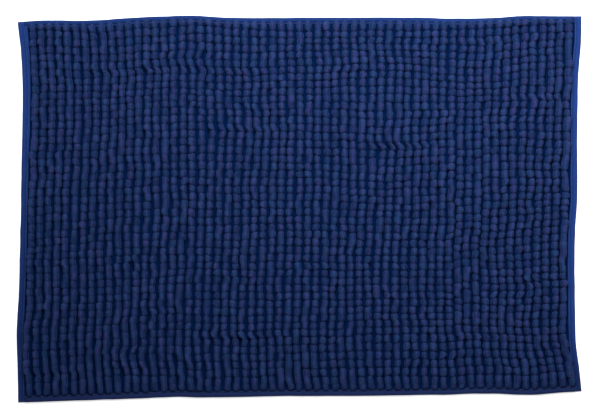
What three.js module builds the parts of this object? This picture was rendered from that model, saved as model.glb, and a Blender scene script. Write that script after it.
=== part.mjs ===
// A tufted chenille bath mat: rows of pile on a coated ground cloth, bound by four sewn hem tapes.
// Units are millimetres. The mat lies flat on Z = 0, with its long side along X and +Z up.
// The origin is under the middle of the mat, on the surface that it lies on.

import * as THREE from 'three';

// Overall size of the flat, square-cut mat
const matLength = 600;
const matWidth = 402;

// Ground cloth, and the pile that stands on it
const clothThickness = 0.8;
const pileHeight = 10.4;

// Hem tapes, folded over the cloth's edge, with a puffy roll between the edge and the seam
const tapeThickness = 0.7;
const sideTapeWidth = 7.2;
const endTapeWidth = 6.8;
const rollHeight = 2.1;
const shoulderWidthShare = 0.35;
const shoulderHeightShare = 0.7;
const hemOffFloor = 0.2;

// Sewing threads, one above and one below each seam
const threadThickness = 0.3;
const threadWidth = 0.6;
const seamFromLip = 1.1;

// Pile: parallel strands of chenille along the short side, evenly spread between the side tapes
const strandCount = 61;
const strandFoot = 4.6;
const strandCrown = 3.6;
const strandSpace = 1.85;
const bellyHeight = 4.4;
const rootThickness = 0.6;
const strandsPerYarn = 2;

// Clearances between pieces that lie side by side
const foldClearance = 0.3;
const cornerClearance = 0.3;
const coatingClearance = 0.6;
const rollClearance = 0.3;
const footClearance = 1;
const strandEndClearance = 1.2;

// How the mat lies: the corners are a little out of square, and each edge drifts
const cornerShear = 9.4;
const cornerTaper = 2.7;

// An edge's drift is a list of [share of the way along, drift outwards]. The way along is from the
// near end for the left and right edges, and from the left end for the near and far edges.
const leftDrift = [
  [0, 0.1], [0.1, 1], [0.19, 1.8], [0.27, 0], [0.42, -1.8],
  [0.65, -3.6], [0.8, -4.6], [0.87, -4.1], [0.95, -1.5], [1, 1],
];
const rightDrift = [
  [0, 0.6], [0.06, -2.2], [0.1, -4.4], [0.18, -6.4], [0.34, -7.1], [0.45, -6.2],
  [0.54, -4.2], [0.72, -4.1], [0.83, -3.2], [0.91, -1.3], [0.96, 0], [1, 0],
];
const nearDrift = [
  [0, 0.6], [0.1, 0], [0.2, -1], [0.3, -1.9], [0.35, -0.6], [0.45, -0.5], [0.55, 0.5],
  [0.7, 1.4], [0.76, 1.5], [0.81, 0.9], [0.86, 2], [0.905, 3.6], [0.95, 2.3], [1, 0.7],
];
const farDrift = [
  [0, 0.5], [0.055, 1.8], [0.11, 1], [0.155, 1.7], [0.2, 3.6], [0.3, 5.2], [0.37, 2.7],
  [0.42, 2], [0.6, 1.3], [0.7, 0.5], [0.78, -1], [0.84, -0.7], [0.9, 1.2], [0.95, 0.4], [1, 0],
];

// How finely the pieces follow the drifting edges
const sideSteps = 16;
const endSteps = 32;
const strandSteps = 8;
const driftSamples = 400;

const finishes = {
  pile: { color: 0x17265a, roughness: 1 },
  cloth: { color: 0x1c2c5e, roughness: 0.9 },
  tape: { color: 0x234088, roughness: 0.8 },
  thread: { color: 0x1b3068, roughness: 0.6 },
  coating: { color: 0xb9b7b0, roughness: 0.7 },
};

// Heights from the floor up
const tapeBottom = hemOffFloor + threadThickness;
const clothBottom = tapeBottom + tapeThickness;
const clothTop = clothBottom + clothThickness;
const tapeTop = clothTop + tapeThickness;

// Sizes that follow from the ones above
const endTapeLength = matLength - 2 * (sideTapeWidth + cornerClearance);
const strandLength = matWidth - 2 * (endTapeWidth + strandEndClearance);
const strandSpread = matLength - 2 * (sideTapeWidth + footClearance) - strandFoot;
const strandPitch = strandSpread / (strandCount - 1);
const strandBelly = strandPitch - strandSpace;

// The drift at a share of the way along an edge, on a smooth curve through its list
function driftCurve(list) {
  const points = list.map(([along, out]) => new THREE.Vector3(along, out, 0));
  const curve = new THREE.CatmullRomCurve3(points, false, 'centripetal');
  const samples = curve.getPoints(driftSamples);
  return (share) => {
    const next = samples.findIndex((sample) => sample.x >= share);
    if (next <= 0) {
      return next === 0 ? samples[0].y : samples.at(-1).y;
    }
    const [before, after] = [samples[next - 1], samples[next]];
    const part = (share - before.x) / (after.x - before.x);
    return THREE.MathUtils.lerp(before.y, after.y, part);
  };
}

const drift = {
  left: driftCurve(leftDrift),
  right: driftCurve(rightDrift),
  near: driftCurve(nearDrift),
  far: driftCurve(farDrift),
};

// Moves a point of the flat mat to where it lies: the drift of each edge fades out towards the edge
// opposite, and shear and taper turn the two long edges a little
function laid(x, y) {
  const across = x / matLength + 0.5;
  const along = y / matWidth + 0.5;
  const shiftX = drift.right(along) * across - drift.left(along) * (1 - across);
  const shiftY = drift.far(across) * along - drift.near(across) * (1 - along);
  const skew = cornerShear * (across - 0.5);
  const taper = -cornerTaper * 2 * (across - 0.5) * (along - 0.5);
  return new THREE.Vector2(x + shiftX, y + shiftY + skew + taper);
}

// Where a run of this length and number of steps has its stations, as far as they lie inside a limit
function stations(length, steps, limit) {
  const stops = Array.from({ length: steps + 1 }, (_, step) => (step / steps - 0.5) * length);
  return stops.filter((stop) => Math.abs(stop) < limit);
}

// The mat's border as points of the flat mat, with an inset taken off each side. Its points are
// beside the stations of the hem tapes, so that the border stays parallel to them.
function flatBorder(insetX, insetY) {
  const halfX = matLength / 2 - insetX;
  const halfY = matWidth / 2 - insetY;
  const sideStops = stations(matWidth, sideSteps, halfY);
  const endStops = stations(endTapeLength, endSteps, halfX);
  return [
    [-halfX, -halfY],
    ...endStops.map((x) => [x, -halfY]),
    [halfX, -halfY],
    ...sideStops.map((y) => [halfX, y]),
    [halfX, halfY],
    ...endStops.toReversed().map((x) => [x, halfY]),
    [-halfX, halfY],
    ...sideStops.toReversed().map((y) => [-halfX, y]),
  ];
}

// The middle of the laid mat's box, which becomes the origin
const laidBorder = flatBorder(0, 0).map(([x, y]) => laid(x, y));
const middle = new THREE.Box2().setFromPoints(laidBorder).getCenter(new THREE.Vector2());

// Lays a flat geometry: its X and Y move with the mat, and its Z stays
function lay(geometry) {
  const position = geometry.attributes.position;
  for (let index = 0; index < position.count; index += 1) {
    const spot = laid(position.getX(index), position.getY(index)).sub(middle);
    position.setXY(index, spot.x, spot.y);
  }
  geometry.computeVertexNormals();
  return geometry;
}

function piece(name, geometry, finish) {
  const mesh = new THREE.Mesh(geometry, new THREE.MeshStandardMaterial({ ...finish, metalness: 0 }));
  mesh.name = name;
  return mesh;
}

// A flat layer over the mat, less an inset on each side, from bottom up to bottom + thickness
function layer(insetX, insetY, bottom, thickness) {
  const shape = new THREE.Shape(flatBorder(insetX, insetY).map(([x, y]) => new THREE.Vector2(x, y)));
  const geometry = new THREE.ExtrudeGeometry(shape, { depth: thickness, bevelEnabled: false });
  return lay(geometry.translate(0, 0, bottom));
}

// A section of [across, height] points, extruded along Y and centred on Y = 0
function run(section, length, steps) {
  const shape = new THREE.Shape(section.map(([across, height]) => new THREE.Vector2(across, height)));
  const geometry = new THREE.ExtrudeGeometry(shape, { depth: length, steps, bevelEnabled: false });
  return geometry.translate(0, 0, -length / 2).rotateX(Math.PI / 2);
}

// How far a run beside the left edge is turned to lie along another, and that edge's distance
// from the mat's middle
const edges = {
  left: { turn: 0, distance: matLength / 2 },
  near: { turn: Math.PI / 2, distance: matWidth / 2 },
  right: { turn: Math.PI, distance: matLength / 2 },
  far: { turn: -Math.PI / 2, distance: matWidth / 2 },
};

function alongEdge(edge, geometry) {
  const { turn, distance } = edges[edge];
  return lay(geometry.translate(-distance, 0, 0).rotateZ(turn));
}

// A hem tape's section: a C folded round the cloth's edge, with the roll on its upper side
function tapeSection(width) {
  const rollWidth = width - seamFromLip - threadWidth / 2 - rollClearance;
  const rollMiddle = rollWidth / 2;
  const shoulder = rollWidth * shoulderWidthShare;
  const shoulderTop = tapeTop + rollHeight * shoulderHeightShare;
  return [
    [tapeThickness / 2, tapeBottom],
    [width, tapeBottom],
    [width, clothBottom],
    [tapeThickness, clothBottom],
    [tapeThickness, clothTop],
    [width, clothTop],
    [width, tapeTop],
    [rollWidth, tapeTop],
    [rollMiddle + shoulder, shoulderTop],
    [rollMiddle, tapeTop + rollHeight],
    [rollMiddle - shoulder, shoulderTop],
    [0, clothTop],
    [0, clothBottom],
  ];
}

// A line of thread beside the tape's lip, flat on the tape's upper side or under its lower one
function threadSection(width, bottom) {
  const centre = width - seamFromLip;
  return [
    [centre - threadWidth / 2, bottom],
    [centre + threadWidth / 2, bottom],
    [centre + threadWidth / 2, bottom + threadThickness],
    [centre - threadWidth / 2, bottom + threadThickness],
  ];
}

// The tape and the two threads of one edge
function hem(edge, width, length, steps) {
  const sections = [
    [`hem_tape_${edge}`, tapeSection(width), finishes.tape],
    [`needle_thread_${edge}`, threadSection(width, tapeTop), finishes.thread],
    [`bobbin_thread_${edge}`, threadSection(width, tapeBottom - threadThickness), finishes.thread],
  ];
  return sections.map(([name, section, finish]) => {
    return piece(name, alongEdge(edge, run(section, length, steps)), finish);
  });
}

// A yarn's section: one or two strands, each with a narrow foot, a fat belly and a round crown,
// joined by the thin mat of roots between them
function yarnSection(count) {
  const points = [];
  for (let index = 0; index < count; index += 1) {
    const centre = index * strandPitch;
    const leftRoot = index === 0 ? 0 : rootThickness;
    const rightRoot = index === count - 1 ? 0 : rootThickness;
    points.push(
      [centre - strandFoot / 2, leftRoot],
      [centre - strandBelly / 2, bellyHeight],
      [centre - strandCrown / 2, pileHeight],
      [centre + strandCrown / 2, pileHeight],
      [centre + strandBelly / 2, bellyHeight],
      [centre + strandFoot / 2, rightRoot],
    );
  }
  return points.map(([across, height]) => [across, clothTop + height]);
}

function yarns() {
  const made = [];
  for (let first = 0; first < strandCount; first += strandsPerYarn) {
    const count = Math.min(strandsPerYarn, strandCount - first);
    const geometry = run(yarnSection(count), strandLength, strandSteps);
    geometry.translate(first * strandPitch - strandSpread / 2, 0, 0);
    const numbers = Array.from({ length: count }, (_, index) => String(first + index + 1).padStart(2, '0'));
    made.push(piece(`pile_strand_${numbers.join('_')}`, lay(geometry), finishes.pile));
  }
  return made;
}

// The coating fills the space between the tapes' lower sides, and the mat stands on it
function coating() {
  const insetX = sideTapeWidth + coatingClearance;
  const insetY = endTapeWidth + coatingClearance;
  return piece('anti_slip_coating', layer(insetX, insetY, 0, clothBottom), finishes.coating);
}

// The cloth reaches into the fold of every tape
function groundCloth() {
  const inset = tapeThickness + foldClearance;
  return piece('ground_cloth', layer(inset, inset, clothBottom, clothThickness), finishes.cloth);
}

const mat = new THREE.Group();
mat.add(coating(), groundCloth());
mat.add(...hem('left', sideTapeWidth, matWidth, sideSteps));
mat.add(...hem('right', sideTapeWidth, matWidth, sideSteps));
mat.add(...hem('near', endTapeWidth, endTapeLength, endSteps));
mat.add(...hem('far', endTapeWidth, endTapeLength, endSteps));
mat.add(...yarns());

export default mat;
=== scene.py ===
import math

import bpy
import mathutils
import numpy as np
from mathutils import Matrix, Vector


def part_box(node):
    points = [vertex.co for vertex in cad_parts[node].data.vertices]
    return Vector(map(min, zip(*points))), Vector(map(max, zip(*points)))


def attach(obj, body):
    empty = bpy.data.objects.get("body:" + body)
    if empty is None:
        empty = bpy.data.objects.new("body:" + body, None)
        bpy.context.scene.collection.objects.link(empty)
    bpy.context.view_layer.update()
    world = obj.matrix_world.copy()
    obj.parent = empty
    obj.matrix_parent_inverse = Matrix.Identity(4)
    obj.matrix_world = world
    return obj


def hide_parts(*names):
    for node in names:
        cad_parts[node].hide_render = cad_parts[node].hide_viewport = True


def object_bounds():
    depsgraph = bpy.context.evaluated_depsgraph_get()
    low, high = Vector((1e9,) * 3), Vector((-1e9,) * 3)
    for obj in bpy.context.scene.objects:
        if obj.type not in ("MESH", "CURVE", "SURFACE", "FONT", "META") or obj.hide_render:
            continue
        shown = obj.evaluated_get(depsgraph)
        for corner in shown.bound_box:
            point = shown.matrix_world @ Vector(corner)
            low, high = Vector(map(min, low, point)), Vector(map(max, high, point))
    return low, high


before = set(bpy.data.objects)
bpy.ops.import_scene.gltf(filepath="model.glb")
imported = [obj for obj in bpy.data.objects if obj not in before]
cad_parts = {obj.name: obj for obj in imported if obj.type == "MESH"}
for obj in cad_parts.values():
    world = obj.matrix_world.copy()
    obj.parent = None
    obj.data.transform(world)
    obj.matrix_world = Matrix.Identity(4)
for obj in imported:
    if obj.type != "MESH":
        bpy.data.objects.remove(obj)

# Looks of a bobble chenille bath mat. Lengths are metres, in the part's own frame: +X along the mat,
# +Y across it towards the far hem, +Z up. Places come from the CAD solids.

cad_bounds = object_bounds()
MM = 0.001
TINY = 1e-12

# The CAD solids: points in one strand's section and in a tape's, and how level a strand's crown is
STRAND_SECTION_POINTS = 6
TAPE_SECTION_POINTS = 13
CROWN_SLACK = 0.01 * MM
# Each edge's run axis, 0 for X and 1 for Y, and the sign of the way outwards
EDGES = {"left": (1, -1), "right": (1, 1), "near": (0, -1), "far": (0, 1)}

# Noise over the plane is a list of terms: (amount, size of a feature across, and along, seed)

# Pile: each strand is a chenille yarn whose loops show as bobbles
BOBBLE_PITCH = 8.08 * MM
BOBBLE_HALF_WIDTH = 3.55 * MM
BOBBLE_FOOT = 2.9 * MM
LEAST_FOOT = 0.8  # of the half width, where that is narrow
BELLY_HEIGHT = 0.40  # of a bobble's height, where it is widest
PLAN_POWER = 2.25  # of a bobble's superellipse from above, where 2 is round
DOME_POWER = 2.05  # of its section's
WIDTH_PINCH = 0.60  # how much narrower a strand is at a full crease, as a share
CROWN_PINCH = 0.28  # and how much lower
NEIGHBOUR_POWER = 3  # how late a bobble's size turns into its neighbour's
BOBBLE_STATIONS = 12
DOME_POINTS = 15
SIDE_POINTS = 3
PILE_SHARE = 0.95  # of the CAD height, which the fibres and the taller bobbles fill up
ROOT_SINK = 0.15 * MM
ROOT_LEVEL = 0.02  # of the pile's height, up to which a bobble is rooted

# Ends of the strands
NEAR_OVERHANG = 2.1 * MM
FAR_OVERHANG = 4.6 * MM
NEAR_DROP = 0.8  # of the pile's height, where the near tape holds it down
NEAR_DROP_REACH = 4.8 * MM
END_STATION = 0.99  # place of a strand's last stations on its end bobbles, from 0 to 1
NEAR_CLOSING_POWER = 8  # how late the first bobble closes
LEAST_CLOSING = 0.12
CLOSING_HEIGHT = 0.52  # of a bobble's height, where its end closes
NOT_CLOSING = 0.999

# Differences between bobbles. A bell is (one standard deviation, how many of them at most down, and up)
WIDTH_BELL = (0.07, -2, 1.5)
HEIGHT_BELL = (0.045, -2, 1.5)
SWAY_BELL = (0.34 * MM, -2, 2)
TILT_BELL = (0.15, -2, 2)
TWIST_BELL = (0.2, -1.6, 1.6)
SWAY_LEAN = 25 / 28  # how far a bobble's crown leans, as a share of its sway
TILT_LEVELS = (0.25, 0.875)  # of the pile's height, between which the tilt sets in
WORN_WIDTH = 0.14  # how much narrower bobbles are at the near left corner, the most worn
ROW_SHIFT = [(0.42, 10.0, 7.0, 11), (0.12, 2.5, 2.5, 12)]  # in bobbles, over strands and bobbles
OWN_ROW_SHIFT = 0.055
END_SHIFT = 0.1

# Creases: how deep they are, and how likely it is that two bobbles run together, in patches
CREASE_DEPTH = (0.7, 1.1)
JOINED_DEPTH = (0.12, 0.4)
JOINED = 0.05
JOINED_BY_WEAR = 0.30
JOINED_ON_LAST_STRAND = 0.55
JOINED_PATCHES = [(0.7, 3.0, 4.0, 21)]
NEAR_CREASES = 0.4  # depth of a strand's first two, as a share
WORN_CREASES = 0.25  # how much shallower they are at the near left corner
LEFT_CREASES = 0.24  # how much shallower they are at the left hem
LEFT_CREASES_REACH = 0.45  # of the way across the mat

# Wander of a strand, and lean of its crown, in millimetres over strands and millimetres
WANDER = [(1.20, 8.0, 55.0, 31), (0.85, 4.0, 18.0, 32), (0.35, 1 / 7.3, 11.0, 33)]
WANDER_FADE = 14 * MM
WANDER_AT_ENDS = 0.15
LEAN = [(0.5, 6.0, 40.0, 34)]

# Places where neighbouring strands step sideways together and drift back towards the near hem:
# share of the way along X, share along Y, strands on each side, sideways step
PLAIN_STEPS = [
    (0.175, 0.87, 4.0, 2.4 * MM),
    (0.20, 0.80, 2.5, -1.5 * MM),
    (0.69, 0.665, 4.5, 2.0 * MM),
    (0.59, 0.76, 4.0, -1.3 * MM),
    (0.30, 0.36, 2.5, 1.6 * MM),
    (0.83, 0.135, 4.5, 1.8 * MM),
]
CHANCE_STEPS = 46
CHANCE_ALONG = (0.03, 0.97)
CHANCE_REACH = (1.5, 5)
CHANCE_SIZE = (0.7 * MM, 2.0 * MM)
STEP_FADE = 2.5  # strands, over which a step dies out sideways
STEP_RETURN = 0.07  # of a strand's length, over which it drifts back
STEP_START = 0.008  # of a strand's length, over which it begins

# How far the outer strands lie in from the hems, as (share along Y, millimetres to the right). The hems
# flare at the corners and the strands don't follow them
LEFT_CROWD = [
    (0, 0.2), (0.12, 0.6), (0.25, 0.9), (0.35, 0.4), (0.44, 1.6), (0.62, 1.8), (0.75, 3.0), (0.88, 4.0),
    (1, 4.6),
]
RIGHT_CROWD = [
    (0, 1.0), (0.06, 0.4), (0.13, -2.4), (0.24, -1.5), (0.3, -1.8), (0.38, -2.8), (0.5, -3.0),
    (0.62, -2.4), (0.69, -0.8), (0.82, -0.3), (0.88, -1.2), (0.95, -3.2), (1, -2.8),
]
CROWD_REACH = 5  # strands

# Clumps of fibre that swell and sink the skin: (height, size, seed), and where they set in
SWELLS = [(0.26 * MM, 2.4 * MM, 41), (0.14 * MM, 1.0 * MM, 42)]
SWELL_LEVELS = (0, 0.25)
SWELL_CLOSING = (1 / 3, 2 / 3)

# Loose fibres, each a thin spike
FIBRES_PER_BOBBLE = 150
FIBRE_REACH = (0.35 * MM, 0.95 * MM)
FIBRE_THICKNESS = (0.07 * MM, 0.13 * MM)
FIBRE_ROOT = 0.12 * MM  # how far under the skin it begins
FIBRE_SCATTER = 0.55
FIBRE_OUTWARDS = 0.6
FIBRE_LEVELS = (0.12, 0.32)  # of the pile's height, between which they set in
UPRIGHT = 0.9  # of a way's length along Z, from which a fibre counts as upright

# Map that a strand's colours are baked to
UV_STRIPS = 4
STRIP_MARGIN = 0.04  # of a strip's width
STRIP_END = 0.01  # of the map's height
CAP_SPOTS = (0.002, 0.998)
FIBRE_SPOT = 0.0004

# Sheets: the cloth is tucked into the tapes, the coating's film ends inside them
SHEET_ROWS = 97
EDGE_POINTS = 9
CLOTH_TUCK = 6.2 * MM
CLOTH_INSET = 1.0 * MM
CLOTH_ENDS = 0.004  # of the tape's length
CLOTH_RELIEF = [(0.12 * MM, 6, 6, 51)]
CLOTH_RELIEF_ROOM = 0.15 * MM
FILM_INSET = 0.6 * MM
FILM_ENDS = 0.018  # of the tape's length

# Anti-slip coating: a film with raised dots in staggered rows
DOT_FIELD = (0.58, 0.38)
DOT_PITCH = (10 * MM, 8.66 * MM)
DOT_RADIUS = 1.9 * MM
DOT_STAGGER = 0.5  # of the pitch
DOT_MARGIN = 0.02  # of the coating's length and width
DOT_HEIGHT = 0.3 * MM
DOT_ROOT = 0.2 * MM
DOT_ROUND = 0.06 * MM
DOT_SHOULDER = 0.72  # of the radius, where the dot turns in
DOT_FLAT = 0.35  # of the radius, at its top
DOT_SIDES = 8

# Tape: a strip folded round the cloth, with a puffy roll, a sunken seam and a lip
TAPE_STEP = 1.5 * MM
TAPE_TUCK = 0.45 * MM  # of the near and far tapes into the side tapes
UNDER_POINTS = 9
UNDER_END = 0.12  # of the tape's width, where its underside begins to curve up
EDGE_CURVE = [(0.35 * MM, 0.12 * MM), (0.08 * MM, 0.5 * MM)]  # (in from the edge, up from the bottom)
EDGE_RISE = 0.3 * MM  # from the cloth to where the tape is furthest out
ROLL_POINTS = 15
ROLL_ANGLES = (0.06, 0.97)  # of a half turn
ROLL_POWER = 0.85
ROLL_BASE = 0.25 * MM  # under the flange's top
ROLL_FROM_SEAM = 0.55 * MM
ROLL_PUFF = [(0.13, 9.0, 1.0, 61), (0.06, 2.5, 1.0, 62)]
PUCKER = 0.10 * MM
PUCKER_AT_EDGE = 0.3  # of the pucker beside the seam
PUCKER_ON_SEAM = 0.4
PUCKER_ON_LIP = 0.3
EDGE_WAVER = [(0.22 * MM, 14.0, 1.0, 63)]
LIP_WAVER = [(0.18 * MM, 6.0, 1.0, 64)]
TAPE_SPACING = 50.0  # between the four tapes in the noise
SEAM_FROM_LIP = 1.1 * MM
SEAM_REACH = 0.45 * MM
SEAM_DIP = 0.22 * MM
SEAM_SHOULDERS = (0.6, 0.3)  # of the dip, on the roll's side and the lip's
LIP_ROUND = 0.25 * MM
LIP_DROP = 0.2 * MM
CLOTH_GAP = 0.12 * MM  # between the cloth and the tape's two lips
INNER_SHARES = (0.95, 0.6, 0.3)  # of the tape's width, for the points on its inside
INNER_FOLD = 0.75 * MM
INNER_FOLD_MIDDLE = 0.70 * MM
ROLL_CLOSING = 3.0 * MM  # how far from a tape's end its roll starts to close, and its section
SECTION_CLOSING = 1.3 * MM
OPEN_SHARES = {0: 0.6, 1: 0.1}  # what is left open at the end of a tape along X, and along Y
# The left tape's lip is cut wider at the far corner, as (share along Y, millimetres)
LEFT_TAPE_EXTRA = [(0, 0), (0.6, 0.3), (0.8, 1.2), (1, 2.6)]

# Lockstitches
STITCH = 3.0 * MM
STITCH_POINTS = 8
STITCH_POWER = 0.6  # how flat a stitch lies between its holes
STITCH_CREST = 0.9  # of the thread's radius
STITCH_PLUNGE = 0.55 * MM
STITCH_BITE = 0.12 * MM
STITCH_SWAY = 0.07 * MM
STITCH_PHASE = 0.4
THREAD_RADIUS = 0.2 * MM
THREAD_SIDES = 8

# Colours in linear RGB. Chenille by its height in the pile, darker and bluer down low as painted shade, the
# weaves as (dark, light), and the side tapes' painted shade as (the Y where it is deepest, the Y where it
# ends, how much is left)
# Painted shade: the chenille darkens and turns bluer down in the pile, standing in for the pile's occlusion
CHENILLE_COLOURS = [
    (0.20, (0.0008, 0.0145, 0.080)),
    (0.50, (0.0011, 0.0150, 0.082)),
    (0.72, (0.0024, 0.0142, 0.072)),
    (0.88, (0.0070, 0.0188, 0.078)),
    (1.0, (0.0150, 0.0280, 0.102)),
]
CHENILLE_HUES = (0.68, 1.10, 1.0, 1), (1.34, 0.92, 1.06, 1)
CHENILLE_SHEEN = (0.3, 0.45, 1.0, 1)
BLOTCH_RANGE = (0.35, 0.65)  # of the noise, between which one hue turns into the other
BOBBLE_LIGHT = 0.13  # by which one bobble is lighter than the next
# Fibre clumps: tone that differs at random, and, as the same noise raises them in the bump, a painted
# highlight on the raised ones
CLUMP_LIGHT = (0.62, 1.32)
# Painted highlight: fibre tips are made lighter, where they catch the light
TIP_LIGHT = 1.5
# One tape cloth in lit and shaded copies: the near tape's darker colours are painted shade for a roll that
# faces away from the light, the far tape's for the bobbles that overhang it
TAPE_COLOURS = {
    "left": ((0.0048, 0.024, 0.125, 1), (0.0085, 0.038, 0.190, 1)),
    "right": ((0.0048, 0.025, 0.130, 1), (0.0085, 0.039, 0.195, 1)),
    "near": ((0.0042, 0.0120, 0.060, 1), (0.0066, 0.018, 0.085, 1)),
    "far": ((0.0032, 0.0185, 0.100, 1), (0.0056, 0.030, 0.155, 1)),
}
# Painted shade: the side tapes darken towards the near hem, where the light falls off
SIDE_TAPE_PAINTED_SHADE = {"left": (-0.17, 0.10, 0.6), "right": (-0.19, -0.12, 0.5)}
# The ground cloth's own dark navy, made darker still as painted shade for the deep gaps between strands
GROUND_COLOURS = (0.0006, 0.007, 0.040, 1), (0.001, 0.012, 0.062, 1)
WEAVE_SHEEN = (0.2, 0.4, 1.0, 1)
WEAVE_LIGHT, WEAR_LIGHT, LESS_LIGHT = 0.35, 0.8, 0.15
FLECK_DARK = 0.25
THREAD_COLOURS = (0.012, 0.028, 0.11, 1), (0.03, 0.06, 0.21, 1)
LATEX_COLOURS = (0.55, 0.54, 0.49, 1), (0.68, 0.67, 0.63, 1)
FLOOR_COLOURS = (0.93, 0.93, 0.93, 1), (0.96, 0.96, 0.96, 1)
WHITE = (1, 1, 1, 1)
TAPE_THREADS = 0.3 * MM  # how far apart the threads of a weave are
GROUND_THREADS = 0.9 * MM

# Stage
CAMERA_SPAN = 639.4 * MM  # what the picture covers across, at the hem's height
CAMERA_SHIFT = (0.8 * MM, -1.0 * MM)
HEM_HEIGHT = 3 * MM
LENS = 135
SENSOR = 36
FLOOR_HALF = 12.0
FLOOR_GLOW = 0.6
WALL_LIGHT = 0.85
CEILING_LIGHT = 0.13
CEILING_FROM = (0.2, 0.6)  # heights on the sky's sphere between which the walls turn into the ceiling
SOFTBOX_PLACE = (0.04, 0.66, 1.10)
SOFTBOX_AIM = (0.16, 0.34, 0)
SOFTBOX_SIZE = 0.8
SOFTBOX_SPREAD = math.radians(90)
SOFTBOX_POWER = 8.9

rng = np.random.default_rng(61)


# -------- numbers

def rise(value, start, full):
    """0 up to start, 1 from full on, and straight between them."""
    return np.clip((value - start) / (full - start), 0, 1)


def unit(vectors):
    return vectors / np.maximum(np.linalg.norm(vectors, axis=-1, keepdims=True), TINY)


def bell(spread, size):
    """Seeded numbers about 0, none further out than the bell's limits."""
    deviation, low, high = spread
    return deviation * rng.standard_normal(size).clip(low, high)


def superellipse(x, power):
    """Height at x, from -1 to 1, of a curve that is round where power is 2, and squarer above that."""
    return (1 - np.abs(x) ** power) ** (1 / power)


def line_length(line):
    return np.linalg.norm(np.diff(line, axis=0), axis=1).sum()


def curve(points, share):
    """Points of a smooth curve through evenly numbered points. share runs from 0 to 1, or a little past."""
    share = np.atleast_1d(share)
    spans = len(points) - 1
    place = share * spans
    index = np.clip(np.floor(place).astype(int), 0, spans - 1)
    t = (place - index)[:, None]
    ends = 2 * points[0] - points[1], 2 * points[-1] - points[-2]
    padded = np.vstack([ends[0], points, ends[1]])
    a, b, c, d = (padded[index + k] for k in range(4))
    return b + 0.5 * t * (c - a + t * (2 * a - 5 * b + 4 * c - d + t * (3 * (b - c) + d - a)))


def drift(stops, share):
    """Metres at each share, by smooth steps between (share, millimetres) stops."""
    shares, values = np.array(stops).T
    index = np.clip(np.searchsorted(shares, share) - 1, 0, len(shares) - 2)
    part = np.clip((share - shares[index]) / (shares[index + 1] - shares[index]), 0, 1)
    part = part * part * (3 - 2 * part)
    return (values[index] * (1 - part) + values[index + 1] * part) * MM


# -------- noise

def lattice_value(ix, iy, iz, seed):
    """A repeatable number from -1 to 1 for each lattice point."""
    h = (ix * 374761393 + iy * 668265263 + iz * 1440662683 + seed * 974634777) & 0xFFFFFFFF
    h = ((h ^ (h >> 13)) * 1274126177) & 0xFFFFFFFF
    return ((h ^ (h >> 16)) & 0xFFFFFF) / 0x7FFFFF - 1.0


def noise(points, cell, seed):
    """Smooth noise from -1 to 1 at N x 3 points, with features about one cell across."""
    place = np.asarray(points, dtype=float) / cell
    base = np.floor(place).astype(np.int64)
    part = place - base
    part = part * part * (3 - 2 * part)
    total = np.zeros(len(place))
    for corner in np.ndindex(2, 2, 2):
        weight = np.prod(np.where(corner, part, 1 - part), axis=1)
        total += weight * lattice_value(*(base + corner).T, seed)
    return total


def flat_noise(x, y, terms):
    """Smooth noise over the plane, the sum of its terms."""
    x, y = np.broadcast_arrays(x, y)
    total = np.zeros(x.shape)
    for amount, across, along, seed in terms:
        points = np.column_stack([x.ravel() / across, y.ravel() / along, np.zeros(x.size)])
        total += amount * noise(points, 1.0, seed).reshape(x.shape)
    return total


# -------- lines of the CAD solids

def sections(node, per_section, along):
    """A run's vertices, grouped by its sections along an axis, 0 for X and 1 for Y."""
    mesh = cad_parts[node].data
    points = np.empty(len(mesh.vertices) * 3)
    mesh.vertices.foreach_get("co", points)
    points = np.unique(points.reshape(-1, 3).round(6), axis=0)
    points = points[np.argsort(points[:, along])]
    return points.reshape(-1, per_section, 3)


def strand_lines():
    """Each strand's CAD node and the centre line of its crown, in X and Y, from left to right."""
    lines = []
    for node in sorted(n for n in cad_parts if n.startswith("pile_strand_")):
        strands = len(node.split("_")) - 2
        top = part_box(node)[1][2]
        crowns = []
        for section in sections(node, STRAND_SECTION_POINTS * strands, 1):
            crown = section[section[:, 2] > top - CROWN_SLACK]
            crowns.append(crown[np.argsort(crown[:, 0])])
        crowns = np.array(crowns)
        for k in range(strands):
            lines.append((node, crowns[:, 2 * k:2 * k + 2, :2].mean(axis=1)))
    return lines


def tape_lines(edge):
    """The outer line and the lip line of an edge's tape, in X and Y."""
    along, outward = EDGES[edge]
    across = 1 - along
    outer, lip = [], []
    for points in sections(f"hem_tape_{edge}", TAPE_SECTION_POINTS, along):
        order = np.argsort(points[:, across] * outward)
        outer.append(points[order[-1], :2])
        lip.append(points[order[0], :2])
    return np.array(outer), np.array(lip)


# -------- meshes

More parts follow.
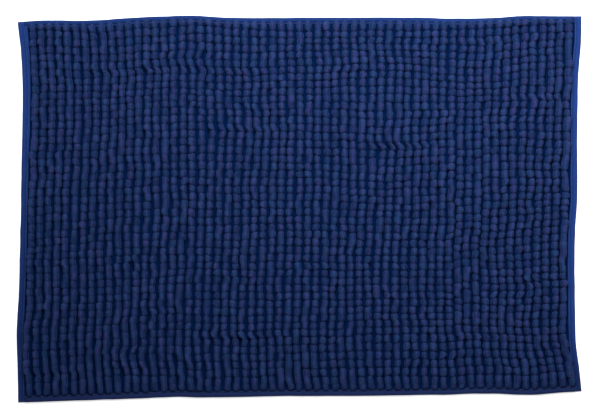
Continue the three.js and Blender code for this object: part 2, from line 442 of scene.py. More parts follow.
def new_mesh(name, vertices, faces, material, uvs=None, **attributes):
    """An object from vertices and lists of equal-sided faces. uvs holds one array per list of faces."""
    faces = [np.asarray(f) for f in faces if len(f)]
    mesh = bpy.data.meshes.new(name)
    mesh.vertices.add(len(vertices))
    mesh.vertices.foreach_set("co", np.ascontiguousarray(vertices, dtype=np.float32).ravel())
    corners = np.concatenate([f.ravel() for f in faces])
    totals = np.concatenate([np.full(len(f), f.shape[1]) for f in faces])
    mesh.loops.add(len(corners))
    mesh.loops.foreach_set("vertex_index", corners.astype(np.int32))
    mesh.polygons.add(len(totals))
    starts = np.concatenate([[0], np.cumsum(totals)[:-1]])
    mesh.polygons.foreach_set("loop_start", starts.astype(np.int32))
    mesh.update(calc_edges=True)
    mesh.polygons.foreach_set("use_smooth", np.ones(len(totals), dtype=bool))
    for key, values in attributes.items():
        layer = mesh.attributes.new(key, "FLOAT", "POINT")
        layer.data.foreach_set("value", np.ascontiguousarray(values, dtype=np.float32))
    if uvs is not None:
        layer = mesh.uv_layers.new(name="OFBake")
        flat = np.concatenate([np.asarray(u).reshape(-1, 2) for u in uvs])
        layer.data.foreach_set("uv", flat.astype(np.float32).ravel())
    mesh.validate()
    mesh.materials.append(material)
    obj = bpy.data.objects.new(name, mesh)
    bpy.context.scene.collection.objects.link(obj)
    return obj


def join_mesh(obj, vertices, faces):
    """Adds closed shapes to an object's mesh."""
    extra = new_mesh("extra", vertices, faces, obj.data.materials[0])
    with bpy.context.temp_override(active_object=obj, selected_editable_objects=[obj, extra]):
        bpy.ops.object.join()


def tube_faces(rows, ring):
    """Quads of a closed tube of rows x ring points, and the two end caps."""
    row = np.arange(rows - 1)[:, None] * ring
    here = np.arange(ring)[None, :]
    after = (here + 1) % ring
    quads = np.stack([row + here, row + ring + here, row + ring + after, row + after], axis=-1)
    first = np.arange(ring)[None, :]
    last = (rows - 1) * ring + np.arange(ring)[::-1][None, :]
    return quads.reshape(-1, 4), np.vstack([first, last])


def outward_tube(name, grid, material):
    """A closed tube's object, with faces turned outwards whichever way its ring runs."""
    points = grid.reshape(-1, 3)
    quads, caps = tube_faces(*grid.shape[:2])
    a, b, c, d = (points[quads[:, k]] for k in range(4))
    volume = ((a - points[0]) * np.cross(c - a, d - b)).sum()
    if volume < 0:
        quads, caps = quads[:, ::-1], caps[:, ::-1]
    return new_mesh(name, points, [quads, caps], material)


def grid_normals(grid):
    """Unit normals of a rows x ring x 3 tube."""
    along = np.gradient(grid, axis=0)
    around = np.roll(grid, -1, axis=1) - np.roll(grid, 1, axis=1)
    return unit(np.cross(along, around))


def on_strip(span, along, around, spans):
    """UVs of a place on a tube: its span, the share along that span and the share round the tube.
    The tube's length is cut into strips that lie side by side."""
    per_strip = math.ceil(spans / UV_STRIPS)
    strip = span // per_strip
    u = (strip + STRIP_MARGIN + (1 - 2 * STRIP_MARGIN) * around) / UV_STRIPS
    v = STRIP_END + (1 - 2 * STRIP_END) * (span - strip * per_strip + along) / per_strip
    return np.stack(np.broadcast_arrays(u, v), axis=-1)


def tube_uvs(rows, ring):
    """UVs for a tube's quads and its two caps."""
    span = np.arange(rows - 1)[:, None]
    column = np.arange(ring)[None, :]
    corners = [(0, 0), (0, 1), (1, 1), (1, 0)]
    quads = [on_strip(span, along, (column + beside) / ring, rows - 1) for beside, along in corners]
    caps = np.tile(np.array(CAP_SPOTS)[:, None, None], (1, ring, 2))
    return np.stack(quads, axis=2).reshape(-1, 4, 2), caps


def install(obj, node):
    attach(obj, "root")
    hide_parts(node)
    return obj


# -------- materials

class Shader:
    """A material with a Principled shader, and short calls for its nodes."""

    def __init__(self, name, **constants):
        self.material = bpy.data.materials.new(name)
        self.material.use_nodes = True
        self.tree = self.material.node_tree
        self.tree.nodes.clear()
        self.output = self.tree.nodes.new("ShaderNodeOutputMaterial")
        self.bsdf = self.tree.nodes.new("ShaderNodeBsdfPrincipled")
        self.tree.links.new(self.bsdf.outputs[0], self.output.inputs["Surface"])
        for key, value in constants.items():
            self.bsdf.inputs[key.replace("_", " ")].default_value = value
        self.place = self.tree.nodes.new("ShaderNodeTexCoord").outputs["Object"]

    def feed(self, socket, value):
        """A socket takes another node's output, or a plain value."""
        if isinstance(value, bpy.types.NodeSocket):
            self.tree.links.new(value, socket)
        else:
            socket.default_value = value

    def node(self, kind, inputs, **settings):
        made = self.tree.nodes.new(kind)
        for key, value in settings.items():
            setattr(made, key, value)
        for key, value in inputs.items():
            self.feed(made.inputs[key], value)
        return made

    def link(self, source, socket):
        self.tree.links.new(source, self.bsdf.inputs[socket])

    def noise(self, size, detail):
        """Noise with features about size across."""
        inputs = {"Vector": self.place, "Scale": 1 / size, "Detail": detail}
        return self.node("ShaderNodeTexNoise", inputs).outputs["Fac"]

    def cells(self, size):
        inputs = {"Vector": self.place, "Scale": 1 / size}
        return self.node("ShaderNodeTexVoronoi", inputs).outputs["Distance"]

    def attribute(self, name):
        return self.node("ShaderNodeAttribute", {}, attribute_name=name).outputs["Fac"]

    def remap(self, value, low, high, to_low, to_high):
        inputs = {"Value": value, "From Min": low, "From Max": high, "To Min": to_low, "To Max": to_high}
        return self.node("ShaderNodeMapRange", inputs).outputs[0]

    def spread(self, noise_value, to_low, to_high):
        """Noise, which is mostly between 0.3 and 0.7, spread from to_low to to_high."""
        return self.remap(noise_value, 0.3, 0.7, to_low, to_high)

    def maths(self, operation, a, b):
        return self.node("ShaderNodeMath", {0: a, 1: b}, operation=operation).outputs[0]

    def ramp(self, value, stops):
        """A colour ramp through (position, colour) stops."""
        made = self.node("ShaderNodeValToRGB", {"Fac": value})
        elements = made.color_ramp.elements
        while len(elements) < len(stops):
            elements.new(0.5)
        for element, (position, colour) in zip(elements, stops):
            element.position = position
            element.color = (*colour, 1)
        return made.outputs["Color"]

    def mix(self, factor, a, b, blend="MIX"):
        """Colours a and b mixed by a factor."""
        inputs = {0: factor, 6: a, 7: b}
        settings = {"data_type": "RGBA", "blend_type": blend, "clamp_factor": True}
        return self.node("ShaderNodeMix", inputs, **settings).outputs[2]

    def tinted(self, colour, tint):
        """A colour multiplied by another one."""
        return self.mix(1.0, colour, tint, "MULTIPLY")

    def dimmed(self, colour, light):
        """A colour multiplied by a plain number."""
        grey = self.node("ShaderNodeCombineColor", {0: light, 1: light, 2: light}).outputs[0]
        return self.tinted(colour, grey)

    def bump(self, height, distance, strength, normal=None):
        inputs = {"Height": height, "Distance": distance, "Strength": strength}
        if normal is not None:
            inputs["Normal"] = normal
        return self.node("ShaderNodeBump", inputs).outputs[0]


def chenille():
    """Microfibre chenille: matt, soft-edged, with a tone for each bobble, and painted shade that makes it
    darker and bluer down in the pile.
    """
    s = Shader("chenille", Roughness=0.95, Sheen_Weight=0.12, Sheen_Roughness=0.5, Specular_IOR_Level=0.05,
               Sheen_Tint=CHENILLE_SHEEN)
    clumps = s.noise(size=1.3 * MM, detail=3)
    blotches = s.noise(size=7 * MM, detail=1)
    tufts = s.cells(size=0.55 * MM)
    hue = s.mix(s.remap(blotches, *BLOTCH_RANGE, 0, 1), *CHENILLE_HUES)
    # Painted shade: the ramp darkens the colour and turns it bluer down in the pile, by each point's height
    # share
    colour = s.tinted(s.ramp(s.attribute("depth"), CHENILLE_COLOURS), hue)
    tone = s.maths("MULTIPLY", s.attribute("tone"), BOBBLE_LIGHT)
    # Clumps: random tone, partly a painted highlight on the clumps that the bump raises
    light = s.maths("ADD", tone, s.spread(clumps, *CLUMP_LIGHT))
    # Painted highlight on the fibre tips
    light = s.maths("MULTIPLY", light, s.remap(s.attribute("tip"), 0, 1, 1, TIP_LIGHT))
    s.link(s.dimmed(colour, light), "Base Color")
    s.link(s.spread(clumps, 0.85, 1.0), "Roughness")
    tufted = s.bump(tufts, distance=0.25 * MM, strength=0.6)
    s.link(s.bump(clumps, distance=0.6 * MM, strength=0.7, normal=tufted), "Normal")
    return s.material


def woven(name, colours, threads, sheen=0.12, shine=0.12, rough=0.75, painted_shade=None):
    """A plain weave of threads this far apart, from dark to light. The last argument gives a painted shade
    along Y, as (the Y where it is deepest, the Y where it ends, how much is left).
    """
    s = Shader(name, Roughness=rough, Sheen_Weight=sheen, Sheen_Roughness=0.45, Specular_IOR_Level=shine,
               Sheen_Tint=WEAVE_SHEEN)
    dark, light = colours
    place = s.node("ShaderNodeSeparateXYZ", {0: s.place})
    turns = [s.maths("MULTIPLY", place.outputs[k], math.pi / threads) for k in (0, 1)]
    warp, weft = (s.maths("SINE", turn, 0) for turn in turns)
    weave = s.remap(s.maths("MULTIPLY", warp, weft), -1, 1, 0, 1)
    fleck = s.noise(size=0.9 * MM, detail=3)
    worn = s.noise(size=18 * MM, detail=2)
    by_weave, by_wear = s.maths("MULTIPLY", weave, WEAVE_LIGHT), s.maths("MULTIPLY", worn, WEAR_LIGHT)
    light_share = s.maths("SUBTRACT", s.maths("ADD", by_weave, by_wear), LESS_LIGHT)
    colour = s.mix(light_share, dark, light)
    colour = s.mix(s.spread(fleck, 0, FLECK_DARK), colour, dark)
    # Painted shade: the colour darkens along Y towards the near hem
    if painted_shade:
        colour = s.dimmed(colour, s.remap(place.outputs[1], *painted_shade, 1))
    s.link(colour, "Base Color")
    s.link(s.spread(fleck, rough - 0.08, rough + 0.1), "Roughness")
    crossing = s.bump(weave, distance=0.12 * MM, strength=0.6)
    s.link(s.bump(fleck, distance=0.1 * MM, strength=0.5, normal=crossing), "Normal")
    return s.material


def twisted_thread():
    s = Shader("sewing_thread", Roughness=0.5, Sheen_Weight=0.1, Specular_IOR_Level=0.4)
    plies = s.cells(size=0.22 * MM)
    fleck = s.noise(size=4 * MM, detail=2)
    s.link(s.mix(fleck, *THREAD_COLOURS), "Base Color")
    s.link(s.spread(fleck, 0.4, 0.6), "Roughness")
    s.link(s.bump(plies, distance=0.08 * MM, strength=0.8), "Normal")
    return s.material


def latex():
    s = Shader("latex", Roughness=0.6, Specular_IOR_Level=0.4)
    skin = s.noise(size=0.8 * MM, detail=3)
    stain = s.noise(size=60 * MM, detail=3)
    s.link(s.mix(s.spread(stain, 0, 1), *LATEX_COLOURS), "Base Color")
    s.link(s.spread(skin, 0.5, 0.75), "Roughness")
    s.link(s.bump(skin, distance=0.08 * MM, strength=0.6), "Normal")
    return s.material


def paper_white():
    s = Shader("floor", Roughness=0.9, Specular_IOR_Level=0.1, Emission_Color=WHITE,
               Emission_Strength=FLOOR_GLOW)
    s.link(s.mix(s.noise(size=3 * MM, detail=2), *FLOOR_COLOURS), "Base Color")
    return s.material


# -------- pile

def wear(number, count, share):
    """How worn the pile is, up to 1 at the near left corner, at a share of a strand's length."""
    return (1 - number / count) * (1 - share)


def chance_steps():
    """Sideways steps at places all over the mat, like those in PLAIN_STEPS."""
    return [
        (
            rng.uniform(0, 1),
            rng.uniform(*CHANCE_ALONG),
            rng.uniform(*CHANCE_REACH),
            rng.choice([-1, 1]) * rng.uniform(*CHANCE_SIZE),
        )
        for _ in range(CHANCE_STEPS)
    ]


def sideways(number, count, share, steps):
    """How far a strand is stepped sideways at each share of its length."""
    shift = np.zeros(len(share))
    for across, along, reach, step in steps:
        hold = rise(reach + 1 - abs(number - across * (count - 1)), 0, STEP_FADE)
        below = np.exp(-np.clip(along - share, 0, 1) / STEP_RETURN)
        above = np.exp(-(np.clip(share - along, 0, 1) / STEP_START) ** 2)
        shift += step * hold * np.where(share < along, below, above)
    from_left = math.exp(-number / CROWD_REACH)
    from_right = math.exp(-(count - 1 - number) / CROWD_REACH)
    return shift + from_left * drift(LEFT_CROWD, share) + from_right * drift(RIGHT_CROWD, share)


def row_bounds(number, pile_length, rows):
    """Where a strand's bobbles begin and end, in metres along it. Rows line up over several strands."""
    k = np.arange(rows + 1)
    place = k + flat_noise(number, k, ROW_SHIFT) + rng.uniform(-OWN_ROW_SHIFT, OWN_ROW_SHIFT, rows + 1)
    place[0] = rng.uniform(-END_SHIFT, END_SHIFT)
    place[-1] = rows + rng.uniform(-END_SHIFT, END_SHIFT)
    return place * pile_length / rows - NEAR_OVERHANG


def creases(number, count, rows):
    """How deep the crease at each bobble's end is, from about 0.1, where two bobbles run together."""
    k = np.arange(rows + 1)
    worn = wear(number, count, k / rows)
    depth = rng.uniform(*CREASE_DEPTH, rows + 1)
    chance = JOINED_ON_LAST_STRAND if number == count - 1 else JOINED + JOINED_BY_WEAR * worn
    joined = rng.uniform(0, 1, rows + 1) < chance * (1 + flat_noise(number, k, JOINED_PATCHES))
    depth[joined] = rng.uniform(*JOINED_DEPTH, joined.sum())
    depth[:2] *= NEAR_CREASES
    near_left_hem = max(0, 1 - number / (LEFT_CREASES_REACH * count))
    return depth * (1 - WORN_CREASES * worn) * (1 - LEFT_CREASES * near_left_hem)


def strand_stations(rows):
    """Each station's bobble and its place on it, from -1 to 1. Stations crowd towards the creases."""
    inner = np.sin(np.linspace(-1, 1, BOBBLE_STATIONS + 1) * math.pi / 2)
    place = np.concatenate([np.tile(inner[:-1], rows), [1.0]])
    place[0], place[-1] = -END_STATION, END_STATION
    bobble = np.append(np.repeat(np.arange(rows), BOBBLE_STATIONS), rows - 1)
    return bobble, place


def end_closing(bobble, place, rows):
    """1 along the strand, less where its ends close: late on the near tape, in a dome over the far one.
    Also which stations are on such an end."""
    closing = np.ones(len(place))
    first = (bobble == 0) & (place < 0)
    last = (bobble == rows - 1) & (place > 0)
    closing[first] = np.sqrt(1 - np.abs(place[first]) ** NEAR_CLOSING_POWER)
    closing[last] = superellipse(place[last], 2)
    return closing, first | last


def strand_path(number, count, line, distance, sway, steps):
    """Each station's middle, in X and Y, and the ways along and across the strand there."""
    length = line_length(line)
    share = distance / length
    path = curve(line, share)
    along = unit(np.gradient(path, axis=0))
    across = np.column_stack([along[:, 1], -along[:, 0]])
    fade = np.clip(np.minimum(distance, length - distance) / WANDER_FADE, WANDER_AT_ENDS, 1)
    wander = flat_noise(number, distance / MM, WANDER) * MM * fade
    shift = wander + sway + sideways(number, count, share, steps)
    return path + across * shift[:, None], along, across


def strand_rings(width, height):
    """Each station's ring, as places across and heights: side, dome, side."""
    width, height = width[:, None], height[:, None]
    foot = np.minimum(BOBBLE_FOOT, LEAST_FOOT * width)
    belly = BELLY_HEIGHT * height
    bend = np.linspace(1, 0, SIDE_POINTS + 1)[:-1] * math.pi / 2
    side_across = foot + (width - foot) * np.cos(bend)
    side_height = belly * (1 - np.sin(bend))
    angle = np.linspace(0, math.pi, DOME_POINTS)
    dome_across = width * np.sign(np.cos(angle)) * np.abs(np.cos(angle)) ** (2 / DOME_POWER)
    dome_height = belly + (height - belly) * np.abs(np.sin(angle)) ** (2 / DOME_POWER)
    aside = np.hstack([side_across, dome_across, -side_across[:, ::-1]])
    up = np.hstack([side_height, dome_height, side_height[:, ::-1]])
    return aside, up


def strand_grid(number, count, node, line, steps):
    """One strand as a rows x ring x 3 grid, with each point's tone and its height share in the pile."""
    pile_length = line_length(line) + NEAR_OVERHANG + FAR_OVERHANG
    rows = round(pile_length / BOBBLE_PITCH)
    bounds = row_bounds(number, pile_length, rows)
    crease = creases(number, count, rows)
    worn = wear(number, count, np.arange(rows) / rows)
    half_width = BOBBLE_HALF_WIDTH * (1 + bell(WIDTH_BELL, rows)) * (1 - WORN_WIDTH * worn)
    height_share = 1 + bell(HEIGHT_BELL, rows)
    tone = rng.uniform(-1, 1, rows)
    sway = bell(SWAY_BELL, rows)
    tilt = bell(TILT_BELL, rows)
    twist = bell(TWIST_BELL, rows + 1)

    bobble, place = strand_stations(rows)
    part = (place + 1) / 2
    distance = bounds[bobble] + part * (bounds[bobble + 1] - bounds[bobble])
    neighbour = np.clip(bobble + np.sign(place).astype(int), 0, rows - 1)
    blend = np.abs(place) ** NEIGHBOUR_POWER / 2

    def blended(values):
        """Each bobble's value at every station, where it turns into its neighbour's."""
        return values[bobble] * (1 - blend) + values[neighbour] * blend

    # Bobbles are narrower and lower at their creases, and the near tape holds the first ones down
    pinch = (1 - superellipse(place, PLAN_POWER)) * crease[bobble + (place >= 0)]
    crown = 1 - CROWN_PINCH * pinch
    held = 1 - NEAR_DROP * np.exp(-(distance + NEAR_OVERHANG) / NEAR_DROP_REACH)
    closing, on_end = end_closing(bobble, place, rows)
    narrowing = np.where(on_end, np.maximum(closing, LEAST_CLOSING), 1 - WIDTH_PINCH * pinch)
    bottom, top = (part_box(node)[k][2] for k in (0, 1))
    pile = (top - bottom) * PILE_SHARE
    height = pile * blended(height_share) * crown * held
    aside, up = strand_rings(blended(half_width) * narrowing, height)
    middle = CLOSING_HEIGHT * height[:, None]
    up = middle + (up - middle) * closing[:, None]

    # Each bobble tilts, leans and twists a little by itself
    level = up / pile
    up = up + blended(tilt)[:, None] * aside * rise(level, *TILT_LEVELS)
    lean = flat_noise(number, distance / MM, LEAN) * MM + SWAY_LEAN * blended(sway)
    aside = aside + lean[:, None] * level ** 2
    ahead = (twist[bobble] * (1 - part) + twist[bobble + 1] * part)[:, None] * aside
    path, along, across = strand_path(number, count, line, distance, blended(sway), steps)
    rooted = (closing > NOT_CLOSING)[:, None] & (level < ROOT_LEVEL)
    grid = np.empty(level.shape + (3,))
    grid[:, :, :2] = path[:, None, :] + across[:, None, :] * aside[:, :, None]
    grid[:, :, :2] += along[:, None, :] * ahead[:, :, None]
    grid[:, :, 2] = bottom + up - ROOT_SINK * rooted

    swell = sum(amount * noise(grid.reshape(-1, 3), cell, seed) for amount, cell, seed in SWELLS)
    strength = rise(level, *SWELL_LEVELS) * rise(closing, *SWELL_CLOSING)[:, None]
    grid = grid + grid_normals(grid) * (swell.reshape(level.shape) * strength)[:, :, None]
    tones = np.repeat(blended(tone)[:, None], level.shape[1], axis=1)
    # The height share sets the chenille's painted shade. It is taken against the held-down and creased
    # height, so those stay light
    return grid, tones, np.clip(level / (held * crown)[:, None], 0, 1)


def fibres(grid, tones, levels, count):
    """Thin four-sided spikes that stand out of the skin: vertices, faces, UVs, and by vertex tones,
    levels and tips. Each has the colour of the spot that it grows from."""
    rows, ring = levels.shape
    here = grid[:-1, :-1]
    area = np.linalg.norm(np.cross(grid[1:, :-1] - here, grid[:-1, 1:] - here), axis=2)
    area = area * rise(levels[:-1, :-1], *FIBRE_LEVELS)
    chosen = rng.choice(area.size, size=count, p=(area / area.sum()).ravel())
    row, column = np.divmod(chosen, ring - 1)
    along, around = rng.uniform(0, 1, (2, count))

    def sample(values):
        extra = (slice(None),) + (None,) * (values.ndim - 2)
        u, v = along[extra], around[extra]
        low = values[row, column] * (1 - v) + values[row, column + 1] * v
        high = values[row + 1, column] * (1 - v) + values[row + 1, column + 1] * v
        return low * (1 - u) + high * u

    root, out = sample(grid), sample(grid_normals(grid))
    aim = unit(out + FIBRE_SCATTER * rng.standard_normal((count, 3)))
    aim = unit(aim + FIBRE_OUTWARDS * out)
    reach = rng.uniform(*FIBRE_REACH, count)[:, None]
    thick = rng.uniform(*FIBRE_THICKNESS, count)[:, None]
    helper = np.where(np.abs(aim[:, 2:3]) < UPRIGHT, [[0.0, 0.0, 1.0]], [[1.0, 0.0, 0.0]])
    side = unit(np.cross(aim, helper))
    other = np.cross(aim, side)
    base = root - FIBRE_ROOT * out
    angles = np.arange(3) * 2 * math.pi / 3
    corners = [base + thick * (math.cos(angle) * side + math.sin(angle) * other) for angle in angles]
    corners.append(root + aim * reach)
    vertices = np.stack(corners, axis=1).reshape(-1, 3)
    first = 4 * np.arange(count)[:, None]
    faces = np.vstack([first + face for face in ([0, 2, 1], [0, 1, 3], [1, 2, 3], [2, 0, 3])])
    spots = on_strip(row, along, (column + around) / ring, rows - 1)
    spot_corners = np.array([[0, 0], [1, 0], [0, 1]]) * FIBRE_SPOT
    uvs = np.tile(spots[:, None, :], (4, 1, 1)) + spot_corners
    tips = np.tile([0.0, 0.0, 0.0, 1.0], count)
    return vertices, faces, uvs, np.repeat(sample(tones), 4), np.repeat(sample(levels), 4), tips


def build_strand(number, count, node, line, steps, material):
    grid, tones, levels = strand_grid(number, count, node, line, steps)
    rows, ring = levels.shape
    fibre_count = (rows - 1) // BOBBLE_STATIONS * FIBRES_PER_BOBBLE
    hair, hair_faces, hair_uvs, hair_tones, hair_levels, tips = fibres(grid, tones, levels, fibre_count)
    skin_points = rows * ring
    quads, caps = tube_faces(rows, ring)
    obj = new_mesh(
        f"chenille_strand_{number + 1:02d}",
        np.vstack([grid.reshape(-1, 3), hair]),
        [quads, caps, hair_faces + skin_points],
        material,
        uvs=[*tube_uvs(rows, ring), hair_uvs],
        tone=np.concatenate([tones.ravel(), hair_tones]),
        # depth is the height share that the chenille's painted shade reads
        depth=np.concatenate([levels.ravel(), hair_levels]),
        tip=np.concatenate([np.zeros(skin_points), tips]),
    )
    install(obj, node)


# -------- cloth and coating

def mat_sheet(strands, sides, reach, inset, ends):
    """A columns x rows x 2 grid over the mat: the strands' lines, each lengthened by reach, between the
    left and right tapes' lines, which are moved inwards by inset and cut short at their ends."""
    columns = []
    for line in strands:
        over = reach / line_length(line)
        columns.append(curve(line, np.linspace(-over, 1 + over, SHEET_ROWS)))
    rows = np.linspace(ends, 1 - ends, SHEET_ROWS)
    left, right = (curve(curve(line, np.linspace(0, 1, EDGE_POINTS)), rows) for line in sides)
    return np.array([left + [inset, 0], *columns, right - [inset, 0]])


def slab(name, sheet, bottom, top, material):
    """A closed sheet between two heights. top may be a grid of heights."""
    wide, tall = sheet.shape[:2]
    upper = np.dstack([sheet, np.broadcast_to(top, (wide, tall))])
    lower = np.dstack([sheet, np.full((wide, tall), bottom)])
    vertices = np.vstack([upper.reshape(-1, 3), lower.reshape(-1, 3)])
    cell = (np.arange(wide - 1)[:, None] * tall + np.arange(tall - 1)[None, :]).ravel()
    faces = np.column_stack([cell, cell + tall, cell + tall + 1, cell + 1])
    under = faces[:, ::-1] + wide * tall
    rim = np.concatenate([
        np.arange(wide) * tall,
        (wide - 1) * tall + np.arange(1, tall),
        np.arange(wide - 2, -1, -1) * tall + tall - 1,
        np.arange(tall - 2, 0, -1),
    ])
    after = np.roll(rim, -1)
    edge = np.column_stack([after, rim, rim + wide * tall, after + wide * tall])
    return new_mesh(name, vertices, [faces, under, edge], material)


def build_ground(strands, tapes, material):
    low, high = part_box("ground_cloth")
    outer_lines = [tapes[side][0] for side in ("left", "right")]
    sheet = mat_sheet(strands, outer_lines, CLOTH_TUCK, CLOTH_INSET, CLOTH_ENDS)
    relief = flat_noise(sheet[:, :, 0] / MM, sheet[:, :, 1] / MM, CLOTH_RELIEF)
    cloth = slab("woven_ground", sheet, low[2], high[2] - CLOTH_RELIEF_ROOM + relief, material)
    return install(cloth, "ground_cloth")


def build_coating(strands, tapes, material):
    low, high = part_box("anti_slip_coating")
    lip_lines = [tapes[side][1] for side in ("left", "right")]
    sheet = mat_sheet(strands, lip_lines, FILM_INSET, FILM_INSET, FILM_ENDS)
    film = low[2] + DOT_HEIGHT
    coating = slab("latex_coating", sheet, film, high[2], material)
    vertices, *faces = latex_dots(sheet, low[2], film)
    join_mesh(coating, vertices, faces)
    install(coating, "anti_slip_coating")


def latex_dots(sheet, bottom, film):
    """Round raised dots in a staggered pattern, whose tops meet the floor: vertices, quads and caps."""
    wide, tall = sheet.shape[:2]
    across, along = (int(size / pitch) for size, pitch in zip(DOT_FIELD, DOT_PITCH))
    row, column = np.divmod(np.arange(across * along), across)
    u = DOT_MARGIN + (1 - 2 * DOT_MARGIN) * (column + DOT_STAGGER * (row % 2)) / (across - DOT_STAGGER)
    v = DOT_MARGIN + (1 - 2 * DOT_MARGIN) * row / (along - 1)
    u, v = u * (wide - 1), v * (tall - 1)
    left, low = u.astype(int), v.astype(int)
    part_u, part_v = (u - left)[:, None], (v - low)[:, None]
    near = sheet[left, low] * (1 - part_u) + sheet[left + 1, low] * part_u
    far = sheet[left, low + 1] * (1 - part_u) + sheet[left + 1, low + 1] * part_u
    centres = near * (1 - part_v) + far * part_v
    angle = np.arange(DOT_SIDES) * 2 * math.pi / DOT_SIDES
    circle = DOT_RADIUS * np.column_stack([np.cos(angle), np.sin(angle)])
    levels = [
        (1.0, film + DOT_ROOT),
        (1.0, film),
        (DOT_SHOULDER, bottom + DOT_ROUND),
        (DOT_FLAT, bottom),
    ]
    dot = np.vstack([np.column_stack([circle * share, np.full(DOT_SIDES, z)]) for share, z in levels])
    vertices = dot[None] + np.column_stack([centres, np.zeros(len(centres))])[:, None, :]
    quads, caps = tube_faces(len(levels), DOT_SIDES)
    first = (len(dot) * np.arange(len(centres)))[:, None, None]
    return vertices.reshape(-1, 3), (quads + first).reshape(-1, 4), (caps + first).reshape(-1, DOT_SIDES)


# -------- hem

def edge_frame(edge, tapes, step):
    """Points along an edge about a step apart, the way inwards at each, the tape's width and the
    distance along. The near and far tapes are tucked a little way into the side tapes."""
    outer, lip = tapes[edge]
    length = line_length(outer)
    tuck = 0 if EDGES[edge][0] == 1 else TAPE_TUCK / length
    share = np.linspace(-tuck, 1 + tuck, round(length / step) + 1)
    start = curve(outer, share)
    inwards = curve(lip, share) - start
    width = float(np.median(np.linalg.norm(inwards, axis=1)))
    return start, unit(inwards), width, (share + tuck) * length


def tape_section(edge, width, distance):
    """The tape's folded section at each station, a stations x ring x 2 array of (in from the edge,
    height). It runs under the mat, over the edge in a roll, and back along its inside."""
    cloth_low, cloth_high = (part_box("ground_cloth")[k][2] for k in (0, 1))
    bottom, roll_top = (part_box(f"hem_tape_{edge}")[k][2] for k in (0, 1))
    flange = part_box(f"needle_thread_{edge}")[0][2]
    fold = (cloth_low + cloth_high) / 2
    seam = width - SEAM_FROM_LIP
    roll_width = seam - ROLL_FROM_SEAM
    from_end = np.minimum(distance, distance[-1] - distance)
    open_share = OPEN_SHARES[EDGES[edge][0]]
    closing = np.sqrt(np.clip(from_end / ROLL_CLOSING, open_share, 1))

    place = distance / MM, list(EDGES).index(edge) * TAPE_SPACING
    waver = flat_noise(*place, EDGE_WAVER)
    lip = width + flat_noise(*place, LIP_WAVER)
    if edge == "left":
        lip += drift(LEFT_TAPE_EXTRA, distance / distance[-1])
    pucker = PUCKER * np.cos(2 * math.pi * distance / STITCH)
    roll_base = flange - ROLL_BASE
    roll_height = (roll_top - roll_base) * (1 + flat_noise(*place, ROLL_PUFF)) * closing

    ring = [(lip, bottom)]
    ring += [(share * width, bottom) for share in np.linspace(1, UNDER_END, UNDER_POINTS)[1:]]
    ring += [(inset + waver, bottom + up) for inset, up in EDGE_CURVE]
    ring.append((waver, cloth_low + EDGE_RISE))
    for angle in np.linspace(*ROLL_ANGLES, ROLL_POINTS) * math.pi:
        share = (1 - math.cos(angle)) / 2
        ripple = pucker * math.sin(angle) * (PUCKER_AT_EDGE + (1 - PUCKER_AT_EDGE) * share) * closing
        height = roll_base + roll_height * math.sin(angle) ** ROLL_POWER + ripple
        ring.append((share * roll_width + waver * (1 - share), height))
    ring += [
        (seam - SEAM_REACH, flange - SEAM_DIP * SEAM_SHOULDERS[0]),
        (seam, flange - SEAM_DIP),
        (seam + SEAM_REACH, flange - SEAM_DIP * SEAM_SHOULDERS[1] + PUCKER_ON_SEAM * pucker),
        (lip - LIP_ROUND, flange + PUCKER_ON_LIP * pucker),
        (lip, flange - LIP_DROP),
        (lip, cloth_high + CLOTH_GAP),
    ]
    ring += [(share * width, cloth_high) for share in INNER_SHARES]
    ring += [
        (INNER_FOLD + waver, cloth_high),
        (INNER_FOLD_MIDDLE + waver, fold),
        (INNER_FOLD + waver, cloth_low),
    ]
    ring += [(share * width, cloth_low) for share in INNER_SHARES[::-1]]
    ring.append((lip, cloth_low - CLOTH_GAP))

    even = np.ones(len(distance))
    section = np.array([(inset * even, height * even) for inset, height in ring]).transpose(2, 0, 1)
    shut = np.sqrt(np.clip(from_end / SECTION_CLOSING, open_share, 1))[:, None]
    section[:, :, 1] = fold + (section[:, :, 1] - fold) * shut
    return section


def build_tape(edge, tapes, material):
    """An edge's tape, and the length of the strip that it is folded from."""
    start, inwards, width, distance = edge_frame(edge, tapes, TAPE_STEP)
    section = tape_section(edge, width, distance)
    flat = start[:, None, :] + inwards[:, None, :] * section[:, :, :1]
    tape = outward_tube(f"tape_{edge}", np.dstack([flat, section[:, :, 1]]), material)
    return install(tape, f"hem_tape_{edge}"), line_length(start)


def build_stitches(edge, tapes, side, material):
    """One lockstitch thread: it lies on the tape between holes and dips into each."""
    start, inwards, width, distance = edge_frame(edge, tapes, STITCH / STITCH_POINTS)
    node = f"{side}_thread_{edge}"
    low, high = (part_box(node)[k][2] for k in (0, 1))
    seat, up = (low, 1) if side == "needle" else (high, -1)
    turn = math.pi * distance / STITCH
    lying = np.abs(np.sin(turn)) ** STITCH_POWER
    lift = THREAD_RADIUS * STITCH_CREST * lying - STITCH_PLUNGE * (1 - lying) - STITCH_BITE
    inset = width - SEAM_FROM_LIP + STITCH_SWAY * np.sin(turn + STITCH_PHASE)
    centre = np.column_stack([start + inwards * inset[:, None], seat + up * lift])
    along = unit(np.gradient(centre, axis=0))
    across = unit(np.cross(along, [0.0, 0.0, 1.0]))
    over = np.cross(across, along)
    angle = (np.arange(THREAD_SIDES) * 2 * math.pi / THREAD_SIDES)[None, :, None]
    grid = centre[:, None, :] + THREAD_RADIUS * (
        np.cos(angle) * across[:, None, :] + np.sin(angle) * over[:, None, :]
    )
    thread = outward_tube(f"{side}_stitches_{edge}", grid, material)
    return install(thread, node)


# -------- stage

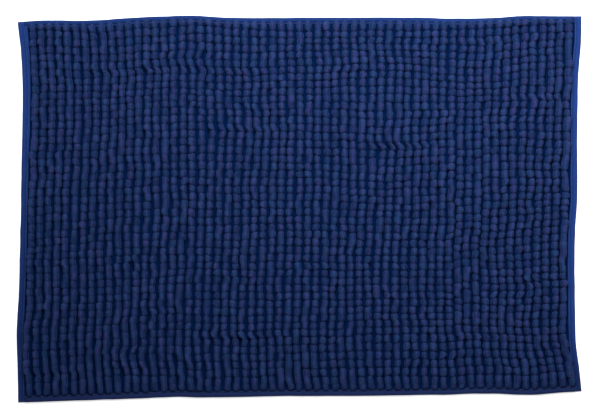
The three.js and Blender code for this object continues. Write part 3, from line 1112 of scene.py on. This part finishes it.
def add_camera():
    """A camera that looks straight down on the mat from a long way up."""
    data = bpy.data.cameras.new("camera")
    data.lens, data.sensor_width = LENS, SENSOR
    camera = bpy.data.objects.new("camera", data)
    low, high = cad_bounds
    middle = (low + high) / 2
    height = HEM_HEIGHT + CAMERA_SPAN * LENS / SENSOR
    camera.location = middle.x + CAMERA_SHIFT[0], middle.y + CAMERA_SHIFT[1], height
    bpy.context.scene.collection.objects.link(camera)
    bpy.context.scene.camera = camera


def add_softbox():
    """A round softbox over the far side of the mat, whose beam fades towards the near left corner."""
    data = bpy.data.lights.new("softbox", "AREA")
    data.shape, data.size, data.spread, data.energy = "DISK", SOFTBOX_SIZE, SOFTBOX_SPREAD, SOFTBOX_POWER
    light = bpy.data.objects.new("softbox", data)
    light.location = SOFTBOX_PLACE
    aim = mathutils.Vector(SOFTBOX_AIM) - light.location
    light.rotation_euler = aim.to_track_quat("-Z", "Y").to_euler()
    bpy.context.scene.collection.objects.link(light)


def add_sky(tree):
    """White walls at the horizon, and a dim ceiling."""
    place = tree.nodes.new("ShaderNodeTexCoord")
    split = tree.nodes.new("ShaderNodeSeparateXYZ")
    fade = tree.nodes.new("ShaderNodeMapRange")
    fade.inputs["From Min"].default_value, fade.inputs["From Max"].default_value = CEILING_FROM
    fade.inputs["To Min"].default_value, fade.inputs["To Max"].default_value = WALL_LIGHT, CEILING_LIGHT
    tree.links.new(place.outputs["Generated"], split.inputs[0])
    tree.links.new(split.outputs["Z"], fade.inputs["Value"])
    tree.links.new(fade.outputs[0], tree.nodes["Background"].inputs["Strength"])
    tree.nodes["Background"].inputs["Color"].default_value = WHITE


def add_stage():
    corners = np.array([[-1, -1, 0], [1, -1, 0], [1, 1, 0], [-1, 1, 0]]) * FLOOR_HALF
    floor = new_mesh("floor", corners, [np.array([[0, 1, 2, 3]])], paper_white())
    world = bpy.data.worlds.new("studio")
    world.use_nodes = True
    add_sky(world.node_tree)
    bpy.context.scene.world = world
    add_softbox()
    bpy.context.scene.view_settings.view_transform = "Standard"


# -------- the mat

add_camera()
add_stage()
pile_material = chenille()
tape_materials = {
    edge: woven(f"{edge}_tape", TAPE_COLOURS[edge], TAPE_THREADS, painted_shade=SIDE_TAPE_PAINTED_SHADE.get(edge))
    for edge in EDGES
}
ground_material = woven("ground_cloth", GROUND_COLOURS, GROUND_THREADS, sheen=0, shine=0, rough=0.9)
thread_material = twisted_thread()
latex_material = latex()

all_strands = strand_lines()
all_lines = [line for _, line in all_strands]
all_tapes = {edge: tape_lines(edge) for edge in EDGES}
all_steps = PLAIN_STEPS + chance_steps()
for index, (cad_node, centre_line) in enumerate(all_strands):
    build_strand(index, len(all_strands), cad_node, centre_line, all_steps, pile_material)
ground = build_ground(all_lines, all_tapes, ground_material)
build_coating(all_lines, all_tapes, latex_material)
for edge in EDGES:
    tape, tape_length = build_tape(edge, all_tapes, tape_materials[edge])
    threads = [build_stitches(edge, all_tapes, side, thread_material) for side in ("needle", "bobbin")]
